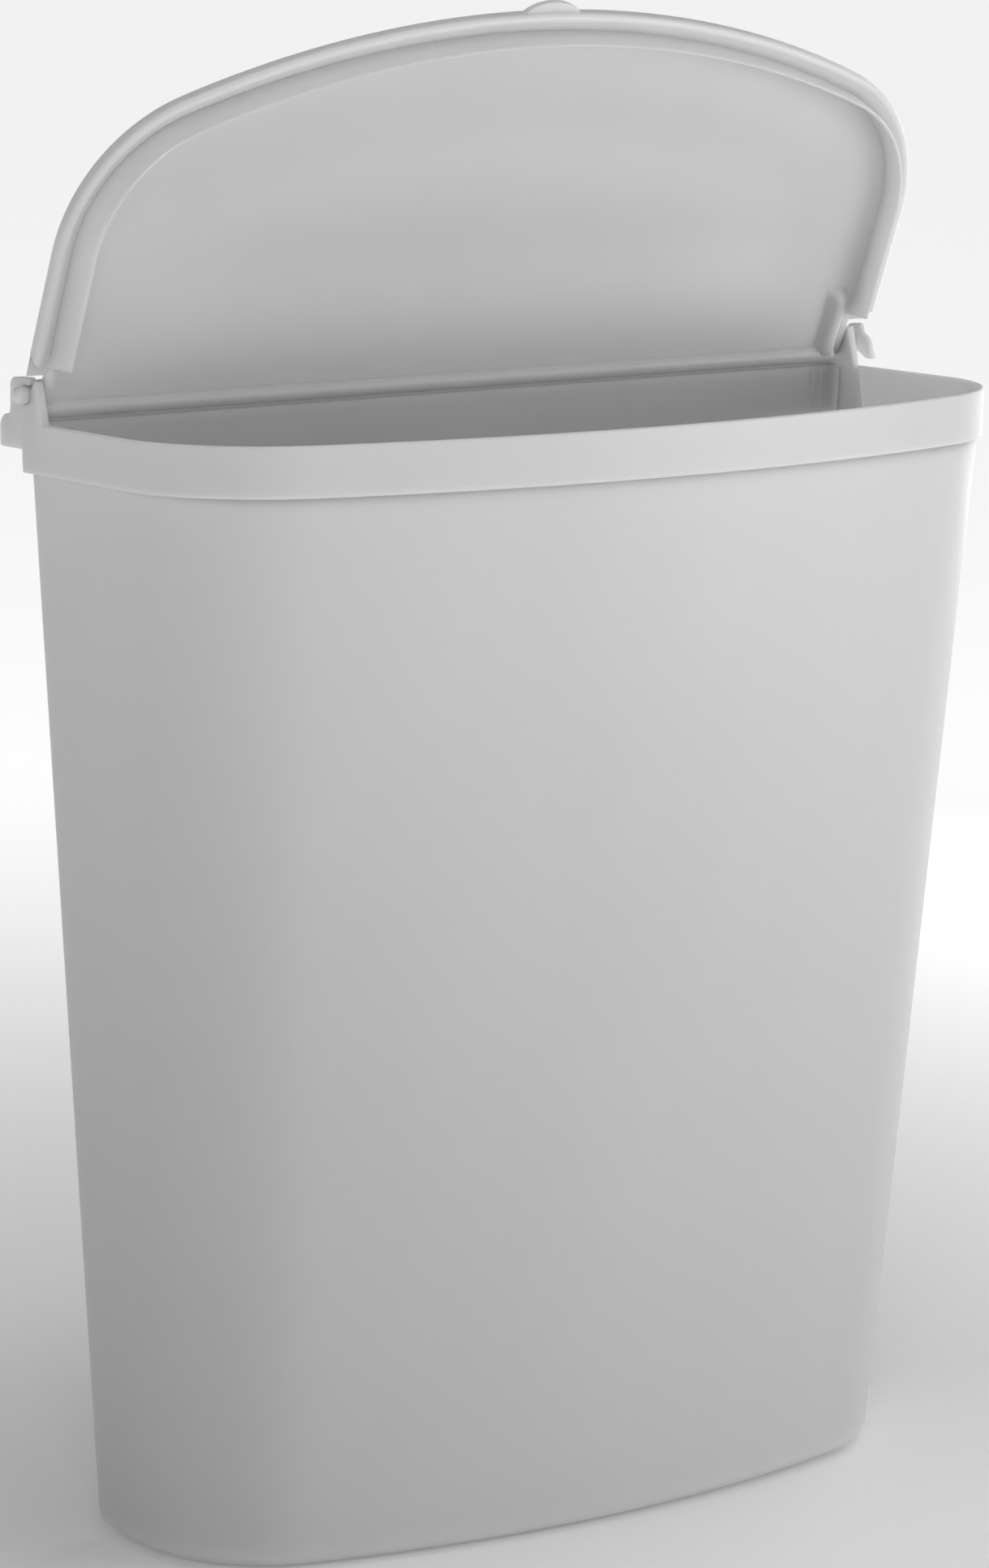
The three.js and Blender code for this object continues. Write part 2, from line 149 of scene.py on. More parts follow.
# ---------------------------------------------------------------- placing
hinge = next(joint for joint in frame["joints"] if joint["name"] == "lid_hinge")
BIN_ORIGIN = Vector((0.0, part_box("wall_bracket")[1].y - WALL_PLANE * MM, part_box("bin_body")[0].z))
TO_BIN = Matrix.Translation(BIN_ORIGIN) @ Matrix.Scale(MM, 4)
OPEN_ANGLE = math.radians(hinge["range_deg"][1])
TO_LID = (
    Matrix.Translation(hinge["pos_m"])
    @ Matrix.Rotation(-OPEN_ANGLE, 4, "X")
    @ Matrix.Scale(MM, 4)
)


# ---------------------------------------------------------------- outlines
def arc(cx, cy, radius, start, end, steps):
    """Points along an arc, both ends included."""
    points = []
    for i in range(steps + 1):
        angle = start + (end - start) * i / steps
        points.append((cx + radius * math.cos(angle), cy + radius * math.sin(angle)))
    return points


def line(a, b, steps):
    return [(a[0] + (b[0] - a[0]) * i / steps, a[1] + (b[1] - a[1]) * i / steps) for i in range(steps + 1)]


def front_half(shape):
    """From the front middle round to the start of the right side: front arc, then corner arc."""
    centre = shape["front"] - shape["depth"]
    corner_x = shape["half"] - shape["corner"]
    corner_y = centre - math.sqrt((shape["front"] - shape["corner"]) ** 2 - corner_x ** 2)
    meet = math.atan2(corner_y - centre, corner_x)
    front = arc(0.0, centre, shape["front"], -math.pi / 2, meet, 26)
    return front + arc(corner_x, corner_y, shape["corner"], meet, 0.0, 24)[1:]


def outline(shape):
    """The closed D, counterclockwise from the front middle."""
    half, back, heel = shape["half"], shape["back"], shape["heel"]
    right = front_half(shape)
    right += line(right[-1], (half, back - heel), 10)[1:]
    right += arc(half - heel, back - heel, heel, 0.0, math.pi / 2, 5)[1:]
    right += line(right[-1], (0.0, back), 24)[1:]
    return right + [(-x, y) for x, y in reversed(right[1:-1])]


def open_outline(shape, end_y):
    """The front of the D only, from the left side's end round to the right side's end."""
    right = front_half(shape)
    right += line(right[-1], (shape["half"], end_y), 16)[1:]
    return [(-x, y) for x, y in reversed(right[1:])] + right


def inset(shape, distance, **changes):
    smaller = {
        "half": shape["half"] - distance,
        "depth": shape["depth"] - distance,
        "corner": shape["corner"] - distance,
        "front": shape["front"] - distance,
        "back": shape["back"] - distance,
        "heel": shape["heel"],
    }
    smaller.update(changes)
    return smaller


def blend(low, high, t):
    return {key: low[key] + (high[key] - low[key]) * t for key in low}


def ring(shape, z):
    return [Vector((x, y, z)) for x, y in outline(shape)]


def quarter(steps):
    """Angles from 0 to 90 degrees, both included."""
    return [math.pi / 2 * i / steps for i in range(steps + 1)]


def eased(value, start, end):
    """Goes softly from 0 at start to 1 at end."""
    t = min(max((value - start) / (end - start), 0.0), 1.0)
    return t * t * (3 - 2 * t)


# ---------------------------------------------------------------- meshes
def grid_faces(bm, rows, around, along):
    """Quads between rows of vertices; around closes each row, along joins the last row to the first."""
    count = len(rows[0])
    for i in range(len(rows) if along else len(rows) - 1):
        low, high = rows[i], rows[(i + 1) % len(rows)]
        for j in range(count if around else count - 1):
            k = (j + 1) % count
            bm.faces.new((low[j], low[k], high[k], high[j]))


def fan(bm, row):
    centre = bm.verts.new(sum((v.co for v in row), Vector()) / len(row))
    for j, vert in enumerate(row):
        bm.faces.new((vert, row[(j + 1) % len(row)], centre))


def skin(rings):
    """A closed body through a stack of rings, with both ends capped."""
    bm = bmesh.new()
    rows = [[bm.verts.new(point) for point in points] for points in rings]
    grid_faces(bm, rows, around=True, along=False)
    fan(bm, rows[0])
    fan(bm, rows[-1])
    return bm


def triangulated(bm):
    """Splits the many-sided end faces, whose normals the splitting needs."""
    bm.normal_update()
    bmesh.ops.triangulate(bm, faces=[face for face in bm.faces if len(face.verts) > 4])
    return bm


def sweep(profile_paths):
    """A closed body: each profile point has its own path, and the profile closes on itself."""
    bm = bmesh.new()
    rows = [[bm.verts.new(point) for point in path] for path in profile_paths]
    grid_faces(bm, rows, around=False, along=True)
    for end in (0, -1):
        bm.faces.new([row[end] for row in rows])
    return triangulated(bm)


def offset_profile(points, distance):
    """Moves a closed counterclockwise profile inwards by distance, with mitred corners."""
    moved = []
    count = len(points)
    for i in range(count):
        before = Vector(points[i]) - Vector(points[i - 1])
        after = Vector(points[(i + 1) % count]) - Vector(points[i])
        n0 = Vector((-before.y, before.x)).normalized()
        n1 = Vector((-after.y, after.x)).normalized()
        miter = (n0 + n1).normalized()
        moved.append(Vector(points[i]) + miter * (distance / max(miter.dot(n0), 0.35)))
    return moved


def rounded_plate(profile, low, high, edge, to_point, steps=3):
    """A profile extruded from low to high with rounded edges; to_point places (u, v, along)."""
    rounding = [(edge * (1 - math.sin(a)), edge * (1 - math.cos(a))) for a in quarter(steps)]
    levels = [(inwards, low + rise) for inwards, rise in rounding]
    levels += [(inwards, high - rise) for inwards, rise in reversed(rounding)]
    bm = bmesh.new()
    rows = []
    for distance, along in levels:
        points = offset_profile(profile, distance) if distance > 1e-6 else [Vector(p) for p in profile]
        rows.append([bm.verts.new(to_point(p.x, p.y, along)) for p in points])
    grid_faces(bm, rows, around=True, along=False)
    for row in (rows[0], rows[-1]):
        bm.faces.new(row)
    return triangulated(bm)


def across_x(u, v, along):
    """Places a (y, z) profile extruded along x."""
    return Vector((along, u, v))


def up_z(u, v, along):
    """Places an (x, y) profile extruded along z."""
    return Vector((u, v, along))


def turned(profile, segments, to_point):
    """A closed body of revolution from a [radius, height] profile that starts and ends on the axis."""
    bm = bmesh.new()
    first = bm.verts.new(to_point(0.0, 0.0, profile[0][1]))
    last = bm.verts.new(to_point(0.0, 0.0, profile[-1][1]))
    rows = []
    for radius, height in profile[1:-1]:
        row = []
        for i in range(segments):
            angle = 2 * math.pi * i / segments
            row.append(bm.verts.new(to_point(radius * math.cos(angle), radius * math.sin(angle), height)))
        rows.append(row)
    grid_faces(bm, rows, around=True, along=False)
    for centre, row in ((first, rows[0]), (last, rows[-1])):
        for i in range(segments):
            bm.faces.new((centre, row[i], row[(i + 1) % segments]))
    return bm


def to_object(name, bm):
    bmesh.ops.recalc_face_normals(bm, faces=bm.faces)
    if bm.calc_volume(signed=True) < 0:
        bmesh.ops.reverse_faces(bm, faces=bm.faces)
    mesh = bpy.data.meshes.new(name)
    bm.to_mesh(mesh)
    bm.free()
    obj = bpy.data.objects.new(name, mesh)
    bpy.context.scene.collection.objects.link(obj)
    return obj


def boolean(base, tool, operation):
    """Joins or cuts base with tool for good, and removes tool."""
    modifier = base.modifiers.new("boolean", "BOOLEAN")
    modifier.operation = operation
    modifier.solver = "MANIFOLD"
    modifier.object = tool
    evaluated = base.evaluated_get(bpy.context.evaluated_depsgraph_get())
    mesh = bpy.data.meshes.new_from_object(evaluated)
    base.modifiers.clear()
    old = base.data
    base.data = mesh
    bpy.data.meshes.remove(old)
    bpy.data.meshes.remove(tool.data)
    return base


def join(base, *tools):
    for tool in tools:
        boolean(base, tool, "UNION")
    return base


def cut(base, *tools):
    for tool in tools:
        boolean(base, tool, "DIFFERENCE")
    return base


def finish_piece(obj, placement, material, body, node):
    """Moves a piece from millimetres to its place and registers it with the frame."""
    obj.data.transform(placement)
    obj.data.shade_smooth()
    obj.data.set_sharp_from_angle(angle=SHARP_ANGLE)
    obj.data.materials.clear()
    obj.data.materials.append(material)
    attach(obj, body)
    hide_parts(node)
    return obj


# ---------------------------------------------------------------- materials
def node_material(name):
    material = bpy.data.materials.new(name)
    material.use_nodes = True
    tree = material.node_tree
    return material, tree, tree.nodes["Principled BSDF"]


def noise(tree, coords, scale, detail, roughness=0.5):
    node = tree.nodes.new("ShaderNodeTexNoise")
    node.inputs["Scale"].default_value = scale
    node.inputs["Detail"].default_value = detail
    node.inputs["Roughness"].default_value = roughness
    tree.links.new(coords, node.inputs["Vector"])
    return node.outputs["Fac"]


def remap(tree, value, low, high):
    """Stretches a noise value to run from low to high."""
    node = tree.nodes.new("ShaderNodeMapRange")
    node.inputs["From Min"].default_value = NOISE_RANGE[0]
    node.inputs["From Max"].default_value = NOISE_RANGE[1]
    node.inputs["To Min"].default_value = low
    node.inputs["To Max"].default_value = high
    tree.links.new(value, node.inputs["Value"])
    return node.outputs["Result"]


def smooth_range(tree, value, source, result):
    """Eases a value from one range into another."""
    node = tree.nodes.new("ShaderNodeMapRange")
    node.interpolation_type = "SMOOTHSTEP"
    tree.links.new(value, node.inputs["Value"])
    for name, limit in zip(("From Min", "From Max", "To Min", "To Max"), source + result):
        node.inputs[name].default_value = limit
    return node.outputs["Result"]


def stretched(tree, coords, scale):
    node = tree.nodes.new("ShaderNodeMapping")
    node.inputs["Scale"].default_value = scale
    tree.links.new(coords, node.inputs["Vector"])
    return node.outputs["Vector"]


def mixed_colour(tree, factor, first, second):
    node = tree.nodes.new("ShaderNodeMix")
    node.data_type = "RGBA"
    node.inputs["A"].default_value = (*first, 1.0)
    node.inputs["B"].default_value = (*second, 1.0)
    tree.links.new(factor, node.inputs["Factor"])
    return node.outputs["Result"]


def bump(tree, height, strength, distance, normal=None):
    node = tree.nodes.new("ShaderNodeBump")
    node.inputs["Strength"].default_value = strength
    node.inputs["Distance"].default_value = distance
    tree.links.new(height, node.inputs["Height"])
    if normal is not None:
        tree.links.new(normal, node.inputs["Normal"])
    return node.outputs["Normal"]


def moulded_plastic(name, tone, roughness):
    """Translucent polypropylene: faint flow mottling, a very fine satin grain and uneven gloss."""
    material, tree, shader = node_material(name)
    coords = tree.nodes.new("ShaderNodeTexCoord").outputs["Object"]
    flow = noise(tree, stretched(tree, coords, (1.0, 1.0, 0.35)), scale=14.0, detail=3.0)
    light = (tone, tone, tone)
    dark = (tone * 0.965, tone * 0.966, tone * 0.968)
    colour = mixed_colour(tree, remap(tree, flow, 0.0, 1.0), dark, light)
    tree.links.new(colour, shader.inputs["Base Color"])
    gloss = noise(tree, coords, scale=30.0, detail=4.0, roughness=0.6)
    tree.links.new(remap(tree, gloss, roughness - 0.04, roughness + 0.05), shader.inputs["Roughness"])
    grain = noise(tree, coords, scale=2600.0, detail=2.0)
    waves = noise(tree, coords, scale=22.0, detail=2.0)
    soft = bump(tree, waves, strength=0.10, distance=0.0012)
    fine = bump(tree, grain, strength=0.10, distance=0.00006, normal=soft)
    tree.links.new(fine, shader.inputs["Normal"])
    shader.inputs["IOR"].default_value = 1.49
    shader.inputs["Subsurface Weight"].default_value = 1.0
    shader.inputs["Subsurface Radius"].default_value = (1.0, 1.0, 1.0)
    shader.inputs["Subsurface Scale"].default_value = 0.007
    return material


def zinc_plate(name):
    """Bright zinc plate: bluish spangle, drawn lines along the strip and dull patches."""
    material, tree, shader = node_material(name)
    coords = tree.nodes.new("ShaderNodeTexCoord").outputs["Object"]
    patches = noise(tree, coords, scale=55.0, detail=4.0, roughness=0.6)
    colour = mixed_colour(tree, remap(tree, patches, 0.0, 1.0), (0.52, 0.54, 0.57), (0.70, 0.71, 0.73))
    tree.links.new(colour, shader.inputs["Base Color"])
    shader.inputs["Metallic"].default_value = 1.0
    lines = noise(tree, stretched(tree, coords, (1.0, 60.0, 60.0)), scale=40.0, detail=3.0)
    tree.links.new(remap(tree, lines, 0.24, 0.42), shader.inputs["Roughness"])
    tree.links.new(bump(tree, lines, strength=0.15, distance=0.00004), shader.inputs["Normal"])
    return material


def nylon(name):
    """Matt grey plug nylon with a fine grain."""
    material, tree, shader = node_material(name)
    coords = tree.nodes.new("ShaderNodeTexCoord").outputs["Object"]
    cloudy = noise(tree, coords, scale=180.0, detail=3.0)
    colour = mixed_colour(tree, remap(tree, cloudy, 0.0, 1.0), (0.20, 0.205, 0.21), (0.25, 0.255, 0.26))
    tree.links.new(colour, shader.inputs["Base Color"])
    shader.inputs["Roughness"].default_value = 0.55
    grain = noise(tree, coords, scale=1500.0, detail=2.0)
    tree.links.new(bump(tree, grain, strength=0.2, distance=0.00005), shader.inputs["Normal"])
    return material


# ---------------------------------------------------------------- bin body
BODY_TOP_OUTLINE = inset(RIM, BAND_PROUD, back=BODY_BACK, heel=BODY_HEEL)


def body_outline(z):
    return blend(BASE, BODY_TOP_OUTLINE, z / BODY_TOP)


def band_outline(z):
    return inset(RIM, BAND_DRAFT * (RIM_HEIGHT - z) / BAND_HEIGHT, back=0.0)


def mouth_outline(z):
    """Inside of the rim, which eases into the inside of the wall below the band."""
    mouth = inset(RIM, WALL, back=BODY_BACK - WALL, heel=BODY_HEEL)
    wall = inset(body_outline(z), WALL)
    flared = inset(mouth, BAND_DRAFT * (RIM_HEIGHT - z) / BAND_HEIGHT, back=mouth["back"])
    return blend(wall, flared, eased(z, FLARE_LOW, FLARE_HIGH))


def heights(low, high, steps):
    return [low + (high - low) * i / steps for i in range(steps + 1)]


def shell():
    """Outside from the middle of the base up, over the rim and down the inside to the floor."""
    band_low = RIM_HEIGHT - BAND_HEIGHT
    lip = 0.85
    fillet = 0.5
    swell = 0.3
    rings = [ring(inset(body_outline(0), FLAT_INSET), 0.0)]
    for angle in quarter(8):
        z = BASE_ROUND * (1 - math.cos(angle))
        rings.append(ring(inset(body_outline(z), BASE_ROUND * (1 - math.sin(angle))), z))
    rings += [ring(body_outline(z), z) for z in heights(BASE_ROUND, band_low - 1, 26)[1:]]
    for angle in quarter(3):
        z = band_low - fillet * (1 - math.sin(angle))
        rings.append(ring(inset(body_outline(z), -swell * (1 - math.cos(angle))), z))
    for angle in quarter(4):
        z = band_low + fillet * (1 - math.cos(angle))
        rings.append(ring(inset(band_outline(z), fillet * (1 - math.sin(angle)), back=0.0), z))
    rings += [ring(band_outline(z), z) for z in heights(band_low + 2, RIM_HEIGHT - lip, 5)]
    for angle in quarter(5)[1:]:
        z = RIM_HEIGHT - lip * (1 - math.sin(angle))
        rings.append(ring(inset(band_outline(z), lip * (1 - math.cos(angle))), z))
    for angle in reversed(quarter(5)):
        z = RIM_HEIGHT - lip * (1 - math.sin(angle))
        rings.append(ring(inset(mouth_outline(z), -lip * (1 - math.cos(angle))), z))
    rings += [ring(mouth_outline(z), z) for z in heights(RIM_HEIGHT - 4, FLARE_LOW, 12)]
    inner_round = BASE_ROUND - WALL
    rings += [ring(mouth_outline(z), z) for z in heights(FLARE_LOW - 14, BIN_FLOOR + inner_round, 22)]
    for angle in reversed(quarter(8)[:-1]):
        z = BIN_FLOOR + inner_round * (1 - math.cos(angle))
        rings.append(ring(inset(body_outline(z), WALL + inner_round * (1 - math.sin(angle))), z))
    rings.append(ring(inset(body_outline(BIN_FLOOR), FLAT_INSET), BIN_FLOOR))
    return to_object("bin_body_visual", skin(rings))


def ledge():
    """Upside-down channel behind the rim, closed at both ends by the ears."""
    half = RIM["half"] - 0.4
    top, low = RIM_HEIGHT, RIM_HEIGHT - LEDGE_DROP
    profile = [(-1.5, low), (LEDGE_DEPTH, low), (LEDGE_DEPTH, top - 3)]
    profile += arc(LEDGE_DEPTH - 3, top - 3, 3.0, 0.0, math.pi / 2, 6)[1:]
    profile += [(-1.5, top)]
    outer = to_object("ledge", rounded_plate(profile, -half, half, edge=0.4, to_point=across_x))
    inside = [(0.05, low - 12), (LEDGE_DEPTH - WALL, low - 12), (LEDGE_DEPTH - WALL, top - WALL - 1)]
    inside += arc(LEDGE_DEPTH - WALL - 1, top - WALL - 1, 1.0, 0.0, math.pi / 2, 4)[1:]
    inside += [(0.05, top - WALL)]
    opening = rounded_plate(inside, -EAR_INNER, EAR_INNER, edge=0.5, to_point=across_x)
    hollow = to_object("hollow", opening)
    return cut(outer, hollow)


def ear_profile():
    """Side view of an ear: foot, rear edge, two tips with the socket between them, and front edge."""
    rim = RIM_HEIGHT
    mouth = math.asin(SOCKET_MOUTH / 2 / SOCKET_RADIUS)
    facing = math.radians(135)
    foot = LEDGE_DEPTH
    points = [(0.0, rim - LEDGE_DROP), (foot - 1, rim - LEDGE_DROP)]
    points += arc(foot - 1, rim - LEDGE_DROP + 1, 1.0, -math.pi / 2, 0.0, 3)[1:]
    points += arc(foot - 5, rim - 3, 5.0, 0.0, math.pi / 2, 8)
    points += [(6.9, rim + 2.25), (6.25, rim + 3.0), (5.9, rim + 5)]
    points += arc(2.5, rim + 11.8, 3.3, 0.0, math.pi / 2, 8)
    points += arc(HINGE_Y - 1.3, rim + 14, 1.4, math.pi / 2, math.pi * 1.3, 8)
    points += arc(HINGE_Y, HINGE_Z, SOCKET_RADIUS, facing - mouth, facing + mouth - 2 * math.pi, 36)
    points += [(HINGE_Y - 3.5, HINGE_Z + 1.7), (HINGE_Y - 5.5, rim + 13.9)]
    points += arc(HINGE_Y - 6.4, rim + 13.7, 0.95, math.radians(55), math.radians(190), 6)
    low = rim - EAR_FRONT_DROP
    points += [(HINGE_Y - 10.8, rim), (HINGE_Y - 11.3, low), (-2.0, low), (-2.0, rim - LEDGE_DROP)]
    return points


def ear(side):
    low, high = sorted((side * EAR_INNER, side * EAR_OUTER))
    return to_object("ear", rounded_plate(ear_profile(), low, high, edge=0.45, to_point=across_x))


def rib(side):
    """Carries the ear's front edge down the inside of the wall, where it fades out."""
    top, low = RIM_HEIGHT - RIB_DROP, RIM_HEIGHT - 58
    bm = bmesh.new()
    rows = []
    for z, front, reach in ((top, -17.2, 1.4), ((top + low) / 2, -23.0, 1.2), (low, -26.0, -0.2)):
        wall = mouth_outline(z)["half"]
        inner, outer = wall - reach, wall + 1.0
        corners = [(outer, -7.5), (inner, -7.5), (inner, front + 1.2), (inner + 0.7, front), (outer, front)]
        rows.append([bm.verts.new((side * x, y, z)) for x, y in corners])
    grid_faces(bm, rows, around=True, along=False)
    bm.faces.new(rows[0])
    bm.faces.new(rows[-1])
    return to_object("rib", bm)


def heel_ridge(side, inwards, reach, drop):
    """Small tapered buttress in the back corner under an ear."""
    x = RIM["half"] - inwards
    top = RIM_HEIGHT - 2.5
    steps = 8
    bm = bmesh.new()
    rows = []
    for i in range(steps + 1):
        t = i / steps
        radius = reach * (1 - t) ** 0.6 + 0.05
        z = top - drop * t
        back = mouth_outline(z)["back"] + 0.6
        points = arc(side * x, back, radius, 0.0, 2 * math.pi, 14)[:-1]
        rows.append([bm.verts.new((px, min(py, back + 0.8), z)) for px, py in points])
    grid_faces(bm, rows, around=True, along=False)
    fan(bm, rows[0])
    fan(bm, rows[-1])
    return to_object("ridge", bm)


def stand_off(side):
    """Spacer low on the back that keeps the hanging bin plumb."""
    reach = WALL_PLANE - CLEARANCE
    root = BODY_BACK - WALL
    profile = [(root, 120.0), (root, 40.0)]
    profile += arc(reach - 3, 49.0, 3.0, -math.pi / 2, 0.0, 5)
    profile += arc(reach - 3, 87.0, 3.0, 0.0, math.radians(60), 4)
    x = side * STAND_OFF_X
    fin = rounded_plate(profile, x - STAND_OFF_HALF, x + STAND_OFF_HALF, edge=0.6, to_point=across_x)
    return to_object("stand_off", fin)


def bin_body(material):
    body = shell()
    pieces = [ledge()]
    for side in (-1, 1):
        pieces += [ear(side), rib(side), stand_off(side)]
        pieces += [heel_ridge(side, *ridge) for ridge in HEEL_RIDGES]
    join(body, *pieces)
    return finish_piece(body, TO_BIN, material, "bin", "bin_body")


# ---------------------------------------------------------------- lid
LID_FRONT = open_outline(LID, LID["back"])


def lid_rise(x, y):
    """Height of the lid's low dome, which dies away softly at the hinge side and towards the front edge."""
    edge = min(math.hypot(x - px, y - py) for px, py in LID_FRONT)
    return LID_DOME * eased(LID["back"] - y, *DOME_FROM_HINGE) * eased(edge, *DOME_FROM_EDGE)


def dome_rings(distance, edge_z, scales):
    """Rings from a small oval in the lid's middle to its inset outline; each scale is one ring's size."""
    base = outline(inset(LID, distance, back=LID["back"]))
    middle = Vector((0.0, -LID["depth"] * DOME_MIDDLE))
    oval = (LID["half"] * DOME_OVAL, LID["depth"] * DOME_MIDDLE)
    rings = []
    for t in scales:
        points = []
        for x, y in base:
            out = Vector((x, y)) - middle
            turn = math.atan2(out.y / oval[1], out.x / oval[0])
            round_out = Vector((oval[0] * math.cos(turn), oval[1] * math.sin(turn)))
            place = middle + t * out.lerp(round_out, 1 - t)
            points.append(Vector((place.x, place.y, edge_z + lid_rise(place.x, place.y))))
        rings.append(points)
    return rings


def lid_plate():
    """Domed plate from the middle of its underside out to the edge and back over the top."""
    scales = [0.03, 0.08, 0.14] + [0.2 + 0.05 * i for i in range(16)]
    under_inset = 2.0
    rings = dome_rings(under_inset, LID_UNDER, scales)
    rings.append(ring(inset(LID, under_inset, back=LID["back"]), LID_UNDER))
    rings.append(ring(LID, LID_UNDER))
    for angle in quarter(7):
        rings.append(ring(
            inset(LID, LID_ROUND * (1 - math.cos(angle)), back=LID["back"]),
            LID_TOP - LID_ROUND * (1 - math.sin(angle)),
        ))
    rings += dome_rings(LID_ROUND, LID_TOP, list(reversed(scales)))
    return to_object("lid_visual", skin(rings))


def lid_edge():
    """Side face and round bead; the bead slopes up inwards to meet the skirt, and its ends slope back."""
    top = LID_UNDER + PLATE_OVERLAP
    profile = [(BEAD_WIDTH, top), (BEAD_WIDTH, BEAD_ROOT)]
    slope = (BEAD_ROUND * 1.75, BEAD_BOTTOM + BEAD_ROUND * 0.35)
    for i in range(1, 6):
        t = i / 6
        bulge = 0.45 * math.sin(math.pi * t)
        distance = BEAD_WIDTH + (slope[0] - BEAD_WIDTH) * t
        profile.append((distance, BEAD_ROOT + (slope[1] - BEAD_ROOT) * t - bulge))
    middle = (BEAD_ROUND, BEAD_BOTTOM + BEAD_ROUND)
    profile += arc(*middle, BEAD_ROUND, math.radians(318), math.pi, 12)
    profile += [(0.0, BEAD_BOTTOM + BEAD_ROUND + 0.5), (0.0, top)]
    paths = []
    for distance, z in profile:
        end = -BEAD_START - BEAD_SLANT * (z - BEAD_BOTTOM) / (top - BEAD_BOTTOM)
        paths.append([Vector((x, y, z)) for x, y in open_outline(inset(LID, distance), end)])
    return to_object("edge", sweep(paths))


def skirt_lean(t):
    """Share of the skirt's lean at height t of its outside, which bends out a little near the plate."""
    bend, lean = 0.8, 0.744
    if t < bend:
        return lean * t / bend
    return lean + (1 - lean) * (t - bend) / (1 - bend)


def lid_skirt():
    """Thin skirt that drops inside the rim."""
    top = LID_UNDER + PLATE_OVERLAP
    low = SKIRT_BOTTOM + 0.5
    root = inset(LID, SKIRT_INSET, depth=LID["depth"] - 7.2, corner=SKIRT_CORNER)
    edge = inset(root, SKIRT_LEAN, depth=LID["depth"] - 7.8)
    thin, thick = 1.3, 1.9
    steps = 10
    outer = []
    for i in range(steps + 1):
        t = i / steps
        outer.append((blend(edge, root, skirt_lean(t)), low + (top - low) * t))
    inner = []
    for i, (shape, z) in enumerate(reversed(outer)):
        inner.append((inset(shape, thick + (thin - thick) * i / steps), z))
    tip = [(inset(edge, thin - 0.4), SKIRT_BOTTOM), (inset(edge, 0.4), SKIRT_BOTTOM)]
    paths = []
    for shape, z in outer + inner + tip:
        end = -SKIRT_START - SKIRT_SLANT * (top - z) / (top - SKIRT_BOTTOM)
        paths.append([Vector((x, y, z)) for x, y in open_outline(shape, end)])
    return to_object("skirt", sweep(paths))


def roll():
    """Half-round ridge along the rear edge, with rounded ends."""
    left, right = -LID_BODY_HALF, LID_BODY_HALF - ROLL_SHORT
    rounding = 1.8

    def place(u, v, along):
        return Vector((along, ROLL_Y + u, ROLL_Z + v))

    points = [(0.0, left)]
    points += [(ROLL_RADIUS * math.sin(a), left + rounding * (1 - math.cos(a))) for a in quarter(5)[1:]]
    points += [(ROLL_RADIUS, x) for x in heights(left + 4, right - 4, 24)]
    points += [(ROLL_RADIUS * math.cos(a), right - rounding * (1 - math.sin(a))) for a in quarter(5)[:-1]]
    points += [(0.0, right)]
    return to_object("roll", turned(points, 28, place))


def raised_bar(side, levels, depth):
    """Bar under one of the lid's rear corners; levels gives its share of the depth across its width."""
    top = LID_UNDER + PLATE_OVERLAP
    low = top - depth
    side_view = [(-24.8, top - 0.1), (-24.0, top - depth * 0.3), (-22.4, top - depth * 0.78)]
    side_view += arc(-20.0, low + 1.6, 1.6, math.pi * 1.25, math.pi * 1.5, 4)
    side_view += line((-18.0, low), (-1.0, low), 6)
    side_view += arc(0.0, low + 3.4, 3.4, -math.pi / 2, 0.0, 8)
    side_view += [(3.4, top + 1.0), (-24.8, top + 1.0)]
    bm = bmesh.new()
    rows = []
    for inwards, share in levels:
        x = side * (LID_BODY_HALF - inwards)
        points = [(y, top + (z - top) * share if z < top else z) for y, z in side_view]
        rows.append([bm.verts.new((x, y, z)) for y, z in points])
    grid_faces(bm, rows, around=True, along=False)
    bm.faces.new(rows[0])
    bm.faces.new(rows[-1])
    return to_object("bar", triangulated(bm))


def knuckle(side, width):
    """Boss above the lid's rear corner that carries the pin."""
    boss = [(-8.0, -5.2), (0.5, -5.2)]
    boss += arc(0.5, -3.0, 2.2, -math.pi / 2, 0.0, 5)[1:]
    boss += arc(0.5, 2.0, 3.0, 0.0, math.pi / 2, 5)
    boss += arc(-1.0, 2.0, 3.0, math.pi / 2, math.radians(140), 4)
    boss += [(-8.0, LID_TOP - 0.6)]
    low, high = sorted((side * (LID_BODY_HALF - width), side * LID_BODY_HALF))
    return to_object("boss", rounded_plate(boss, low, high, edge=0.7, to_point=across_x))


def left_pin():
    """Short pin with a domed end."""
    start = -EAR_INNER + 3
    end = -RIM["half"] - LEFT_PIN_REACH
    dome = 2.2
    profile = [(0.0, start), (PIN_RADIUS, start)]
    profile += [(PIN_RADIUS, x) for x in heights(start - 1, end + dome + 0.5, 4)]
    profile += [(PIN_RADIUS * math.cos(a), end + dome * (1 - math.sin(a))) for a in quarter(7)[:-1]]
    profile += [(0.0, end)]
    return to_object("left_pin", turned(profile, 32, across_x))


def right_pin():
    """Longer pin that ends in the tongue."""
    start = EAR_INNER - 3
    end = RIM["half"] + RIGHT_PIN_REACH
    profile = [(0.0, start)] + [(PIN_RADIUS, x) for x in heights(start, end, 6)] + [(0.0, end)]
    return to_object("right_pin", turned(profile, 32, across_x))


def at_rest(u, v, along):
    """Places a (y, z) profile that is drawn as it hangs with the lid open."""
    turn = Matrix.Rotation(OPEN_ANGLE, 3, "X")
    return turn @ Vector((along, u, v))


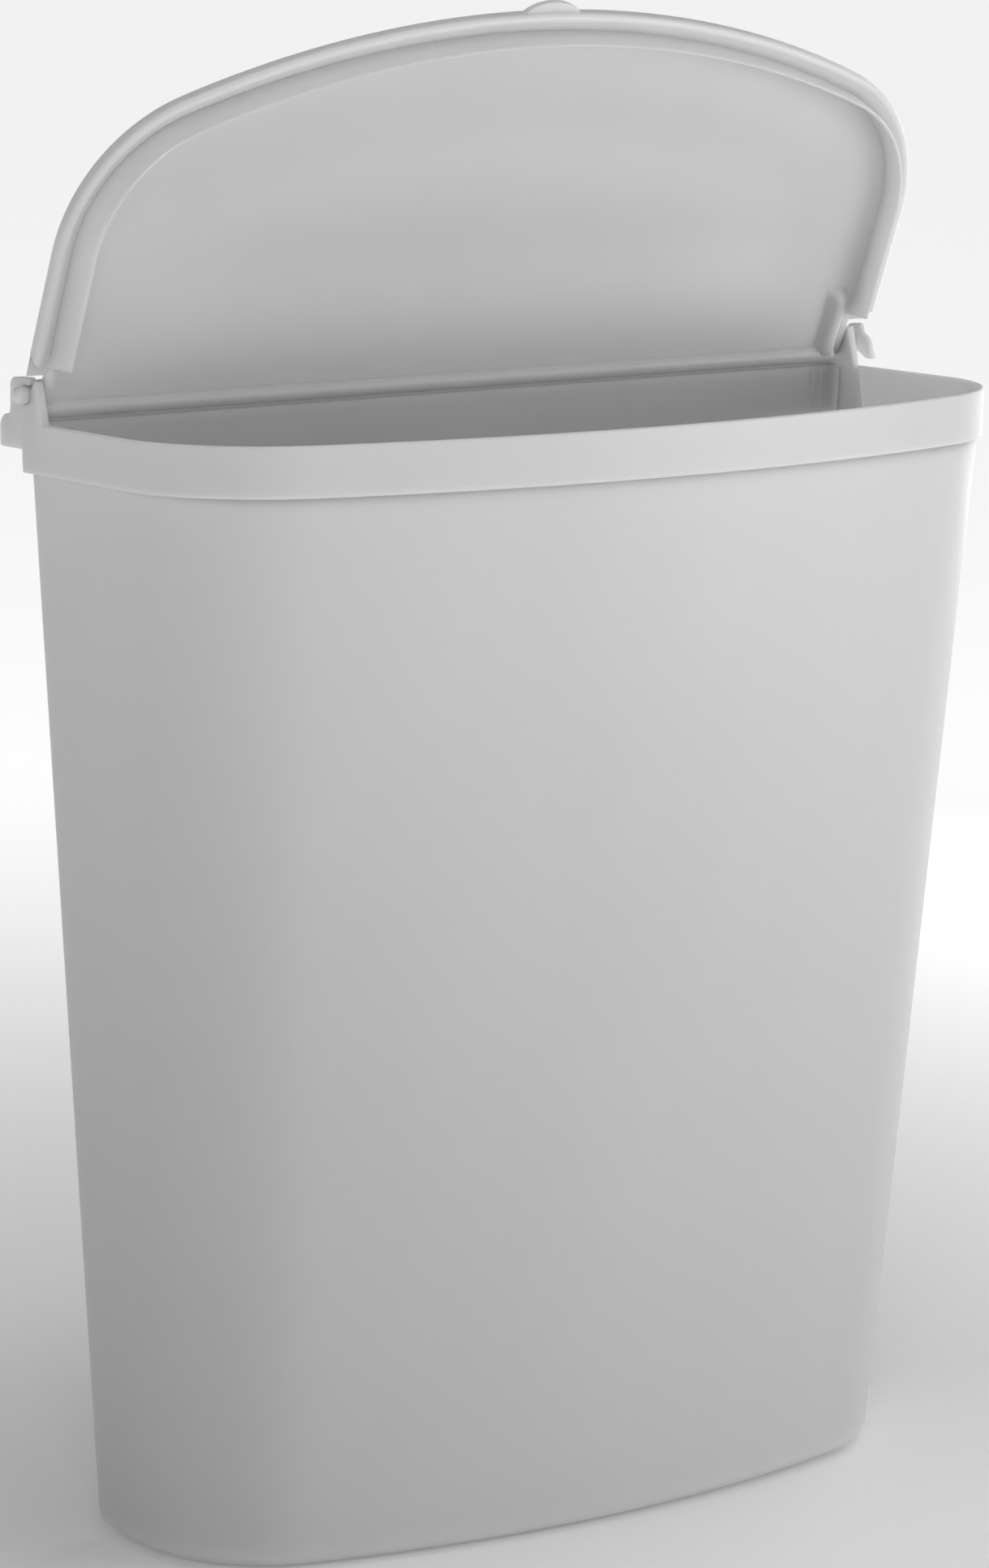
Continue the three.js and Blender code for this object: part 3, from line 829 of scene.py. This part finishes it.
def tongue():
    """Curved tongue that hangs outboard of the right-hand ear and keeps the pin in."""
    points = [
        (3.3, 3.6), (2.6, 4.9), (1.2, 5.3), (-2.6, 5.6), (-3.9, 5.1), (-4.5, 3.9), (-5.1, 2.2),
        (-6.6, 1.2), (-8.4, 0.2), (-9.4, -1.2), (-9.9, -3.4), (-11.0, -5.8), (-11.9, -7.3),
        (-10.2, -7.6), (-7.6, -7.5), (-5.4, -6.4), (-3.6, -5.4), (-1.0, -4.4), (1.6, -3.0), (3.2, -0.6),
    ]
    x = RIM["half"] + RIGHT_PIN_REACH
    half = 1.4
    plate = rounded_plate(points, x - half, x + half, edge=0.8, to_point=at_rest, steps=4)
    return to_object("tongue", plate)


def thumb_tab():
    """Low rounded lip in the middle of the front edge."""
    front = -LID["depth"]
    points = [(TAB_HALF + 1.5, front + 4.0), (-TAB_HALF - 1.5, front + 4.0)]
    for i in range(25):
        across = i / 12 - 1
        points.append((TAB_HALF * across, front + 0.4 - (TAB_REACH + 0.4) * (1 - across * across) ** 0.8))
    low, high = LID_TOP - 3.8, LID_TOP - 1.0
    return to_object("tab", rounded_plate(points, low, high, edge=0.5, to_point=up_z, steps=4))


def notch(side):
    """Clears the lid's rear corner round the ear."""
    past = 20.0
    low, high = sorted((side * LID_BODY_HALF, side * (LID["half"] + past)))
    start = -CORNER_START if side < 0 else -CORNER_START - RIGHT_CORNER_EXTRA
    profile = [(low, start), (high, start), (high, past), (low, past)]
    return to_object("notch", rounded_plate(profile, -30.0, 30.0, edge=0.01, to_point=up_z, steps=1))


def lid(material):
    piece = cut(lid_plate(), notch(-1), notch(1))
    join(piece, lid_edge(), lid_skirt(), roll())
    join(piece, raised_bar(-1, LEFT_BAR, LEFT_BAR_DEPTH), knuckle(-1, LEFT_KNUCKLE))
    join(piece, raised_bar(1, RIGHT_BAR, RIGHT_BAR_DEPTH), knuckle(1, RIGHT_KNUCKLE))
    join(piece, left_pin(), right_pin(), tongue(), thumb_tab())
    return finish_piece(piece, TO_LID, material, "lid", "lid")


# ---------------------------------------------------------------- bracket, screws and plugs
def into_wall(x, start):
    """Places a body of revolution that goes into the wall at one fixing, from y = start."""
    def place(u, v, along):
        return Vector((x + u, start + along, FIXING_HEIGHT + v))

    return place


def bracket(material):
    """Z-shaped folded strip with real bend radii and rounded ends."""
    inner, outer = 1.0, 1.0 + SHEET
    lip_back = LEDGE_DEPTH - WALL - CLEARANCE
    lip_top = RIM_HEIGHT - WALL - CLEARANCE
    front_plate = WALL_PLANE - SHEET
    profile = [(WALL_PLANE, BRACKET_LOW)]
    profile += arc(WALL_PLANE - outer, SHELF_TOP - outer, outer, 0.0, math.pi / 2, 7)
    profile += arc(lip_back + inner, SHELF_TOP + inner, inner, -math.pi / 2, -math.pi, 4)
    profile += [(lip_back, lip_top), (lip_back - SHEET, lip_top)]
    profile += arc(lip_back - SHEET + outer, SHELF_TOP - SHEET + outer, outer, math.pi, 1.5 * math.pi, 7)
    profile += arc(front_plate - inner, SHELF_TOP - SHEET - inner, inner, math.pi / 2, 0.0, 4)
    profile += [(front_plate, BRACKET_LOW)]
    strip = rounded_plate(profile, -BRACKET_HALF, BRACKET_HALF, edge=0.3, to_point=across_x, steps=2)
    piece = to_object("wall_bracket_visual", strip)
    end = 20.0
    for x in SCREW_X:
        for radius, start in ((2.25, 10.0), (5.0, WALL_PLANE - 0.6)):
            profile = [(0.0, start), (radius, start), (radius, end), (0.0, end)]
            cut(piece, to_object("drill", turned(profile, 40, into_wall(x, 0.0))))
    return finish_piece(piece, TO_BIN, material, "bracket", "wall_bracket")


def screw(index, x, material):
    """Pan-head screw with a cross recess and a helical thread."""
    head, height, core, length = 4.0, 2.4, 1.35, 40.0
    place = into_wall(x, WALL_PLANE - SHEET - CLEARANCE)
    profile = [(0.0, -height)]
    for angle in quarter(8)[1:]:
        rise = height * 0.75 * (1 - math.cos(angle))
        profile.append((head * math.sin(angle) ** 0.9, -height + rise))
    profile += [(head, -0.1), (head - 0.15, 0.0), (1.75, 0.0), (1.75, 5.0), (core, 6.0)]
    profile += [(core, length - 6.0), (0.25, length - 0.4), (0.0, length)]
    piece = to_object(f"bracket_screw_{index}_visual", turned(profile, 40, place))
    arm, slot = 2.2, 0.45
    for u, v in ((arm, slot), (slot, arm)):
        square = [(-u, -v), (u, -v), (u, v), (-u, v)]
        recess = rounded_plate(square, -height - 1, -height + 1.5, edge=0.1, to_point=place, steps=1)
        cut(piece, to_object("recess", recess))
    return finish_piece(join(piece, thread(place, core, length)), TO_BIN, material,
                        "bracket", f"bracket_screw_{index}")


def thread(place, core, length):
    """A helical ridge around the screw's core that thins out at both ends."""
    pitch, per_turn, start, end = 1.8, 18, 6.5, length - 4.5
    root = core - 0.3
    count = int((end - start) / pitch * per_turn)
    bm = bmesh.new()
    rows = []
    for i in range(count + 1):
        angle = 2 * math.pi * i / per_turn
        along = start + pitch * i / per_turn
        taper = min(1.0, i / per_turn, (count - i) / per_turn)
        crest = core + 0.4 * taper + 0.02
        row = []
        for radius, shift in ((root, -0.45), (crest, -0.06), (crest, 0.06), (root, 0.45)):
            u, v = radius * math.cos(angle), radius * math.sin(angle)
            row.append(bm.verts.new(place(u, v, along + shift)))
        rows.append(row)
    grid_faces(bm, rows, around=True, along=False)
    bm.faces.new(rows[0])
    bm.faces.new(rows[-1])
    return to_object("thread", bm)


def plug(index, x, material):
    """Ribbed expansion plug with a collar, two slots and a bore for the screw."""
    length, bore = 32.0, 2.05
    place = into_wall(x, WALL_PLANE + CLEARANCE)
    profile = [(0.0, 0.0), (3.85, 0.0), (4.0, 0.15), (4.0, 0.85), (3.85, 1.0), (3.0, 1.6), (3.0, 7.0)]
    for i in range(7):
        along = 7.0 + 3.1 * i
        profile += [(2.95, along), (2.6, along + 0.5), (2.95, along + 2.6)]
    profile += [(2.9, length - 2.5), (2.5, length), (0.0, length)]
    piece = to_object(f"wall_plug_{index}_visual", turned(profile, 36, place))
    past = length + 2.0
    hole = to_object("hole", turned([(0.0, -2.0), (bore, -2.0), (bore, past), (0.0, past)], 32, place))
    split = [(-0.4, -4.0), (0.4, -4.0), (0.4, 4.0), (-0.4, 4.0)]
    slot = to_object("slot", rounded_plate(split, 9.0, past, edge=0.1, to_point=place, steps=1))
    cut(piece, hole, slot)
    return finish_piece(piece, TO_BIN, material, "bracket", f"wall_plug_{index}")


# ---------------------------------------------------------------- floor, lights and camera
# Azimuth and elevation in degrees, distance and size in metres, and power in watts of each softbox.
SOFTBOXES = [
    (42.0, 8.0, 1.5, 0.9, 5.2),
    (112.0, 12.0, 1.3, 0.8, 2.8),
    (40.0, 40.0, 1.9, 0.9, 1.2),
    (10.0, 78.0, 2.6, 1.8, 16.0),
    (-36.0, 30.0, 2.0, 0.35, 3.6),
]
LIGHT_AIM = Vector((0.0, -0.07, 0.25))
CAMERA_PIVOT = Vector((0.0, -0.0636, 0.2))
FLOOR_HALF = 40.0
FLOOR_GAP = 0.5 * MM
# Painted glow: the floor emits light that grows with distance from the bin, up to GLOW at GLOW_END metres.
GLOW = 0.78
GLOW_END = 1.7
# Strength of the surroundings above, and near the horizon; between these heights they change over.
WORLD = 0.1
HORIZON = 0.8
HORIZON_FADE = (0.05, 0.18)


def floor():
    bm = bmesh.new()
    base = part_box("bin_body")[0].z - FLOOR_GAP
    corners = ((-1, -1), (1, -1), (1, 1), (-1, 1))
    bm.faces.new([bm.verts.new((x * FLOOR_HALF, y * FLOOR_HALF, base)) for x, y in corners])
    obj = to_object("floor", bm)
    material, tree, shader = node_material("floor_paint_and_glow")
    coords = tree.nodes.new("ShaderNodeTexCoord").outputs["Object"]
    tone = noise(tree, coords, scale=3.0, detail=2.0)
    colour = mixed_colour(tree, remap(tree, tone, 0.0, 1.0), (0.90, 0.90, 0.90), (0.92, 0.92, 0.92))
    tree.links.new(colour, shader.inputs["Base Color"])
    shader.inputs["Roughness"].default_value = 0.9
    away = tree.nodes.new("ShaderNodeVectorMath")
    away.operation = "LENGTH"
    tree.links.new(coords, away.inputs[0])
    # painted glow: emission that makes the floor brighter further from the bin
    glow = smooth_range(tree, away.outputs["Value"], (0.0, GLOW_END), (0.0, GLOW))
    shader.inputs["Emission Color"].default_value = (1.0, 1.0, 1.0, 1.0)
    tree.links.new(glow, shader.inputs["Emission Strength"])
    obj.data.materials.append(material)


def area_light(name, azimuth, elevation, distance, size, power):
    """A softbox that faces the bin; azimuth 0 is straight in front and grows towards the right."""
    turn, tilt = math.radians(azimuth), math.radians(elevation)
    towards = Vector((math.sin(turn) * math.cos(tilt), -math.cos(turn) * math.cos(tilt), math.sin(tilt)))
    data = bpy.data.lights.new(name, "AREA")
    data.size = size
    data.energy = power
    obj = bpy.data.objects.new(name, data)
    obj.location = BIN_ORIGIN + LIGHT_AIM + towards * distance
    obj.rotation_euler = (-towards).to_track_quat("-Z", "Y").to_euler()
    obj.visible_camera = False
    bpy.context.scene.collection.objects.link(obj)


def surroundings():
    """White world that is dim above and bright near the horizon, where it meets the floor."""
    world = bpy.data.worlds.new("studio")
    world.use_nodes = True
    tree = world.node_tree
    background = tree.nodes["Background"]
    background.inputs["Color"].default_value = (1.0, 1.0, 1.0, 1.0)
    coords = tree.nodes.new("ShaderNodeTexCoord").outputs["Generated"]
    direction = tree.nodes.new("ShaderNodeSeparateXYZ")
    tree.links.new(coords, direction.inputs["Vector"])
    fade = smooth_range(tree, direction.outputs["Z"], HORIZON_FADE, (HORIZON, WORLD))
    tree.links.new(fade, background.inputs["Strength"])
    bpy.context.scene.world = world


def camera():
    """Stands to the front left of the bin, a little above the rim, and looks slightly down."""
    azimuth, elevation, distance = math.radians(-36.0), math.radians(11.602), 2.05624
    yaw, pitch = math.radians(35.442), math.radians(-9.838)
    data = bpy.data.cameras.new("camera")
    data.sensor_width = 36.0
    data.lens = 131.449
    obj = bpy.data.objects.new("camera", data)
    obj.location = BIN_ORIGIN + CAMERA_PIVOT + distance * Vector((
        math.sin(azimuth) * math.cos(elevation),
        -math.cos(azimuth) * math.cos(elevation),
        math.sin(elevation),
    ))
    forward = Vector((math.sin(yaw) * math.cos(pitch), math.cos(yaw) * math.cos(pitch), math.sin(pitch)))
    obj.rotation_euler = forward.to_track_quat("-Z", "Y").to_euler()
    bpy.context.scene.collection.objects.link(obj)
    bpy.context.scene.camera = obj


# ---------------------------------------------------------------- build
body_plastic = moulded_plastic("body_plastic", 0.72, 0.36)
lid_plastic = moulded_plastic("lid_plastic", 0.72, 0.34)
zinc = zinc_plate("zinc_plate")
plug_nylon = nylon("plug_nylon")

bin_body(body_plastic)
lid(lid_plastic)
bracket(zinc)
for number, screw_x in enumerate(SCREW_X, start=1):
    screw(number, screw_x, zinc)
    plug(number, screw_x, plug_nylon)

floor()
for number, softbox in enumerate(SOFTBOXES):
    area_light(f"softbox_{number}", *softbox)
surroundings()
camera()
bpy.context.scene.view_settings.view_transform = "Standard"
